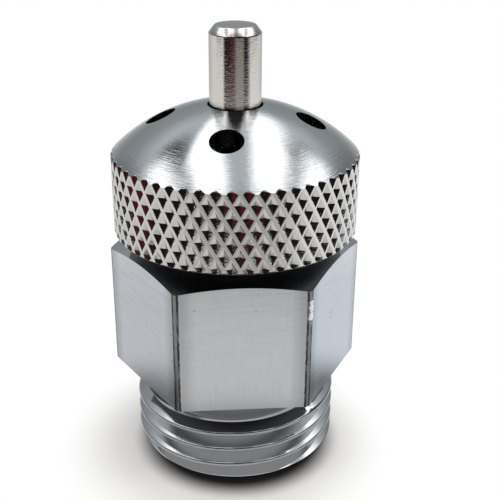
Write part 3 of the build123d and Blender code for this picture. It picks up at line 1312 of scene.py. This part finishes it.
@dataclass(frozen=True)
class Tent:
    """Tent that only reflections see, glowing with painted reflections: grey walls, soft panels
    overhead and a dark front.

    Places overhead are stereographic, aside and back from the zenith, with the horizon at 2. Pairs
    of colours are for the left and the right.
    """

    radius: float = 600.0
    steps: tuple[int, int] = (64, 32)
    foot: float = -5.0
    walls: tuple[Span, ...] = (
        (0.0, 0.45),
        (0.25, 0.31),
        (0.5, 0.39),
        (0.68, 0.68),
        (0.85, 0.55),
        (1.0, 0.66),
    )
    wall_tint: Triple = (0.93, 1.0, 1.03)
    middle: float = 0.03
    hands: Span = (-0.05, 0.05)
    gap_inner: Span = (0.34, 0.46)
    gap_outer: Span = (0.72, 0.58)
    gap_back: Span = (0.7, 0.5)
    gap_turn: Span = (0.1, 0.4)
    gap_near: Pair = ((0.42, 0.44, 0.45), (0.58, 0.6, 0.61))
    gap_far: Pair = ((0.08, 0.085, 0.09), (0.43, 0.45, 0.46))
    strip_inner: Span = (0.09, 0.15)
    strip_outer: Span = (0.49, 0.4)
    strip_back: Span = (1.1, 0.8)
    strip_bend: float = 0.2
    strip_slants: Span = (0.45, 0.3)
    strip_wider: Span = (0.4, 0.55)
    strip_widening: float = 0.13
    wing_inner: Span = (0.56, 0.66)
    wing_outer: Span = (0.92, 0.84)
    wing_back: Span = (0.55, 0.25)
    panel_front: Span = (-0.7, -0.5)
    panel_tone: Triple = (2.0, 2.0, 2.0)
    edge_inner: Span = (0.84, 0.95)
    edge_back: Span = (1.5, 1.1)
    edge_tone: Triple = (0.22, 0.23, 0.235)
    front_slope: float = 0.9
    front_edge: Span = (0.05, -0.1)
    front_top: Span = (0.95, 0.85)
    front_tone: Triple = (0.03, 0.03, 0.03)

    def build(self) -> None:
        """Puts the tent up."""
        material, sheet = new_material("tent_cloth")
        x, y, z = sheet.axes(sheet.place(1.0 / (self.radius * MM)))
        spread = sheet.math("DIVIDE", 2.0, sheet.math("ADD", z, 1.0))
        aside = sheet.math("SUBTRACT", sheet.product(x, spread), self.middle)
        aside = sheet.math("ABSOLUTE", aside)
        back = sheet.product(y, spread)
        walls = [
            (height, tuple(tone * share for share in self.wall_tint)) for height, tone in self.walls
        ]
        tone = self._gaps(sheet, sheet.ramp(z, walls), x, aside, back)
        # Painted reflection of the lamps overhead, which glossy rays do not see.
        tone = sheet.tones(self._panels(sheet, x, aside, back), tone, self.panel_tone)
        edge = sheet.product(sheet.span(aside, *self.edge_inner), sheet.span(back, *self.edge_back))
        tone = sheet.tones(edge, tone, self.edge_tone)
        # Painted dark reflection in front of the valve.
        slope = sheet.math("ADD", sheet.product(y, self.front_slope), sheet.math("ABSOLUTE", x))
        front = sheet.product(sheet.span(slope, *self.front_edge), sheet.span(z, *self.front_top))
        tone = sheet.tones(front, tone, self.front_tone)
        sheet.add("OutputMaterial", {"Surface": sheet.glow(tone)})
        dome = bmesh.new()
        around, up = self.steps
        bmesh.ops.create_uvsphere(dome, u_segments=around, v_segments=up, radius=self.radius)
        cut_off(dome, self.foot, -1.0)
        mirrored_only(staged(dome, "tent", material))

    def _gaps(
        self, sheet: NodeSheet, wall: NodeSocket, x: NodeSocket, aside: NodeSocket, back: NodeSocket
    ) -> NodeSocket:
        """Adds the dark gaps between the panels.

        Args:
            sheet: Sheet of the material.
            wall: Colour of the walls.
            x: Place from left to right.
            aside: Distance aside from the middle.
            back: Distance back from the zenith.

        Returns:
            The walls' colour with the gaps.
        """
        hand = sheet.span(x, *self.hands)
        gap = sheet.product(
            sheet.span(aside, *self.gap_inner),
            sheet.span(aside, *self.gap_outer),
            sheet.span(back, *self.gap_back),
        )
        shade = sheet.tones(
            sheet.span(back, *self.gap_turn),
            sheet.tones(hand, *self.gap_near),
            sheet.tones(hand, *self.gap_far),
        )
        return sheet.tones(gap, wall, shade)

    def _panels(
        self, sheet: NodeSheet, x: NodeSocket, aside: NodeSocket, back: NodeSocket
    ) -> NodeSocket:
        """Adds the soft panels: two strips either side of the middle and two wings further out.

        Args:
            sheet: Sheet of the material.
            x: Place from left to right.
            aside: Distance aside from the middle.
            back: Distance back from the zenith.

        Returns:
            The panels' mask.
        """
        limit, end = self.strip_outer
        slant = sheet.math("MAXIMUM", sheet.math("SUBTRACT", back, self.strip_bend), 0.0)
        lean = sheet.span(x, *self.hands, *self.strip_slants)
        wider = sheet.span(back, *self.strip_wider, 0.0, self.strip_widening)
        limit = sheet.math("MULTIPLY_ADD", sheet.span(x, *self.hands), wider, limit)
        strip = sheet.product(
            sheet.span(aside, *self.strip_inner),
            sheet.span(sheet.math("MULTIPLY_ADD", slant, lean, aside), limit, end),
            sheet.span(back, *self.strip_back),
        )
        wing = sheet.product(
            sheet.span(aside, *self.wing_inner),
            sheet.span(aside, *self.wing_outer),
            sheet.span(back, *self.wing_back),
        )
        return sheet.product(
            sheet.math("MAXIMUM", strip, wing), sheet.span(back, *self.panel_front)
        )


@dataclass(frozen=True)
class Card:
    """Curved card round the front of the valve that only reflections see; it glows with painted
    reflections.

    Tones are angles in degrees from the front, each with the colour that the card has there.
    """

    name: str
    heights: Span
    foot: Triple
    tones: tuple[tuple[float, Triple], ...]
    radius: float = 85.0
    steps: int = 48

    def build(self) -> None:
        """Stands the card up."""
        low, high = self.heights
        first, last = self.tones[0][0], self.tones[-1][0]
        material, sheet = new_material(self.name)
        x, y, z = sheet.axes(sheet.place())
        turn = sheet.math("ARCTAN2", x, sheet.product(y, -1.0))
        ends = {"From Min": radians(first), "From Max": radians(last)}
        share = sheet.add("MapRange", {"Value": turn, **ends}).outputs["Result"]
        stops = [((angle - first) / (last - first), tone) for angle, tone in self.tones]
        rise = sheet.span(z, low, (2 * low + high) / 3)
        tone = sheet.tones(rise, self.foot, sheet.ramp(share, stops))
        sheet.add("OutputMaterial", {"Surface": sheet.glow(tone)})
        card = bmesh.new()
        corner = card.verts.new((0.0, -self.radius, low))
        swung(card, [corner], radians(first))
        made = bmesh.ops.extrude_vert_indiv(card, verts=[corner])
        made["verts"][0].co.z = high
        spun(card, radians(last - first), self.steps)
        mirrored_only(staged(card, self.name, material))


# Glow colours of the cards: painted dark and pale reflections of the surroundings in front of the
# valve.
CARD_BLACK = (0.011, 0.011, 0.011)
CARD_DARK = (0.02, 0.012, 0.013)
CARD_MAROON = (0.1, 0.01, 0.02)
CARD_GREY = (0.34, 0.32, 0.3)
CARD_DIM = (0.1, 0.1, 0.1)
CARD_PALE = (0.7, 0.69, 0.68)
CARDS = (
    Card(
        "card_high",
        (50.0, 80.0),
        CARD_BLACK,
        ((-90.0, CARD_BLACK), (94.0, CARD_BLACK), (106.0, CARD_DIM)),
    ),
    Card(
        "card_middle",
        (29.0, 50.0),
        CARD_BLACK,
        (
            (-90.0, (0.03, 0.025, 0.025)),
            (-64.0, (0.04, 0.014, 0.017)),
            (-52.0, CARD_MAROON),
            (-34.0, CARD_MAROON),
            (-26.0, CARD_BLACK),
            (94.0, CARD_BLACK),
            (106.0, CARD_DIM),
        ),
    ),
    Card(
        "card_low",
        (11.0, 29.0),
        (0.3, 0.28, 0.27),
        (
            (-56.0, CARD_PALE),
            (-49.0, CARD_DARK),
            (-24.0, CARD_DARK),
            (-20.0, (0.1, 0.02, 0.032)),
            (-8.0, (0.12, 0.04, 0.05)),
            (2.0, CARD_GREY),
            (28.0, CARD_GREY),
            (37.0, (0.015, 0.015, 0.015)),
            (48.0, (0.03, 0.03, 0.03)),
            (63.0, CARD_PALE),
        ),
    ),
)


@dataclass(frozen=True)
class Studio:
    """Camera, backdrop, soft lamps, floor, tent and cards. Lamps are in metres."""

    lens: float = 66.8
    sensor: float = 36.0
    camera_at: Triple = (-5.52, -86.24, 60.12)
    camera_clip: Span = (0.001, 10.0)
    pitch: float = 24.431
    yaw: float = -4.65
    roll: float = 0.368
    sky: Triple = (0.96, 0.98, 1.0)
    sky_strength: float = 0.6
    lamp_spans: tuple[Span, ...] = ((0.044, 0.145), (0.215, 0.414))
    lamp_length: float = 0.35
    lamp_back: float = 0.025
    lamp_height: float = 0.4
    lamp_power: float = 8.0

    def build(self) -> None:
        """Sets the stage."""
        self._view()
        self._world()
        Floor().build()
        Tent().build()
        self._lamps()
        for card in CARDS:
            card.build()

    def _view(self) -> None:
        """Sets the camera and the view transform."""
        data = bpy.data.cameras.new("camera")
        data.lens = self.lens
        data.sensor_width = self.sensor
        data.clip_start, data.clip_end = self.camera_clip
        camera = bpy.data.objects.new("camera", data)
        camera.matrix_world = (
            Matrix.Translation(Vector(self.camera_at) * MM)
            @ Matrix.Rotation(radians(self.yaw), 4, "Z")
            @ Matrix.Rotation(radians(90 - self.pitch), 4, "X")
            @ Matrix.Rotation(radians(self.roll), 4, "Z")
        )
        bpy.context.scene.collection.objects.link(camera)
        bpy.context.scene.camera = camera
        bpy.context.scene.view_settings.view_transform = "Standard"

    def _world(self) -> None:
        """Sets the white backdrop and plain soft light from all round."""
        world = bpy.data.worlds.new("studio")
        world.use_nodes = True
        world.cycles.sampling_method = "NONE"
        bpy.context.scene.world = world
        sheet = NodeSheet(world.node_tree)
        light, white = (
            sheet.add("Background", {"Color": (*colour, 1.0), "Strength": strength}).outputs[0]
            for colour, strength in ((self.sky, self.sky_strength), (WHITE, 1.0))
        )
        mix = sheet.add("MixShader", {0: backdrop_rays(sheet), 1: light, 2: white})
        sheet.add("OutputWorld", {"Surface": mix.outputs[0]})

    def _lamps(self) -> None:
        """Hangs the soft panels overhead: two strips either side of a gap and two wider ones."""
        for side in (-1, 1):
            for near, far in self.lamp_spans:
                data = bpy.data.lights.new("panel", "AREA")
                data.shape = "RECTANGLE"
                data.size = far - near
                data.size_y = self.lamp_length
                data.energy = self.lamp_power * data.size * data.size_y
                lamp = bpy.data.objects.new("panel", data)
                lamp.location = (side * (near + far) / 2, self.lamp_back, self.lamp_height)
                lamp.visible_glossy = False
                bpy.context.scene.collection.objects.link(lamp)


CHROME = (0.6, 0.61, 0.625)
TURNED = PlatedFinish("turned_plate", CHROME, 0.1, line_depth=0.0006)
FLATS = FlatFinish("flat_plate", CHROME, 0.2)
DOMED = PlatedFinish("domed_plate", CHROME, 0.08, line_pitch=0.12, line_depth=0.014, line_sweep=4.0)
KNURLED = PlatedFinish(
    "knurled_plate", (0.61, 0.605, 0.59), 0.1, line_pitch=0.35, line_depth=0.02, line_sweep=36.0
)
# Rougher finish for undersides and bores, its dark tint painted shade where little light reaches.
MATT_AND_SHADED = PlatedFinish("matt_shaded_plate", (0.12, 0.12, 0.125), 0.35, line_pitch=0.12, line_depth=0.004)
STEEL = PlatedFinish("spring_steel", (0.52, 0.52, 0.53), 0.22, line_pitch=0.06)
BRIGHT = PlatedFinish("pin_plate", (0.67, 0.65, 0.63), 0.08, line_depth=0.01, line_sweep=4.0)
BRASS = PlatedFinish("bare_brass", (0.78, 0.57, 0.27), 0.28, line_pitch=0.08, line_depth=0.0008)
RUBBER = SoftFinish("black_rubber", (0.022, 0.022, 0.023), 0.7)


def dress_inside(groups: Groups, steel: Material) -> None:
    """Gives the CAD pieces inside the valve their materials.

    Args:
        groups: Shared node groups.
        steel: Finish of the sprung pieces.
    """
    for names, material in (
        (("valve_disc", "lock_nut", "guide_plate"), BRASS.material(groups)),
        (("retaining_ring",), steel),
        (("seat_washer", "cap_gasket"), RUBBER.material()),
    ):
        for name in names:
            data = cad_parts[name].data
            data.materials.clear()
            data.materials.append(material)
            LOG.info("dressed %s", name)


def main() -> None:
    """Builds the stage and the pieces."""
    logging.basicConfig(level=logging.INFO, format="%(message)s")
    groups = Groups()
    Studio().build()
    turned, flats, domed, knurled, matt_and_shaded, steel, bright = (
        finish.material(groups) for finish in (TURNED, FLATS, DOMED, KNURLED, MATT_AND_SHADED, STEEL, BRIGHT)
    )
    for piece in (
        ValveBody().build(turned, flats, matt_and_shaded),
        KnurledCap().build(domed, knurled, matt_and_shaded),
        PushPin().build(bright),
        ReturnSpring().build(steel),
    ):
        LOG.info("built %s with %d faces", piece.name, len(piece.data.polygons))
    dress_inside(groups, steel)


if __name__ == "__main__":
    main()
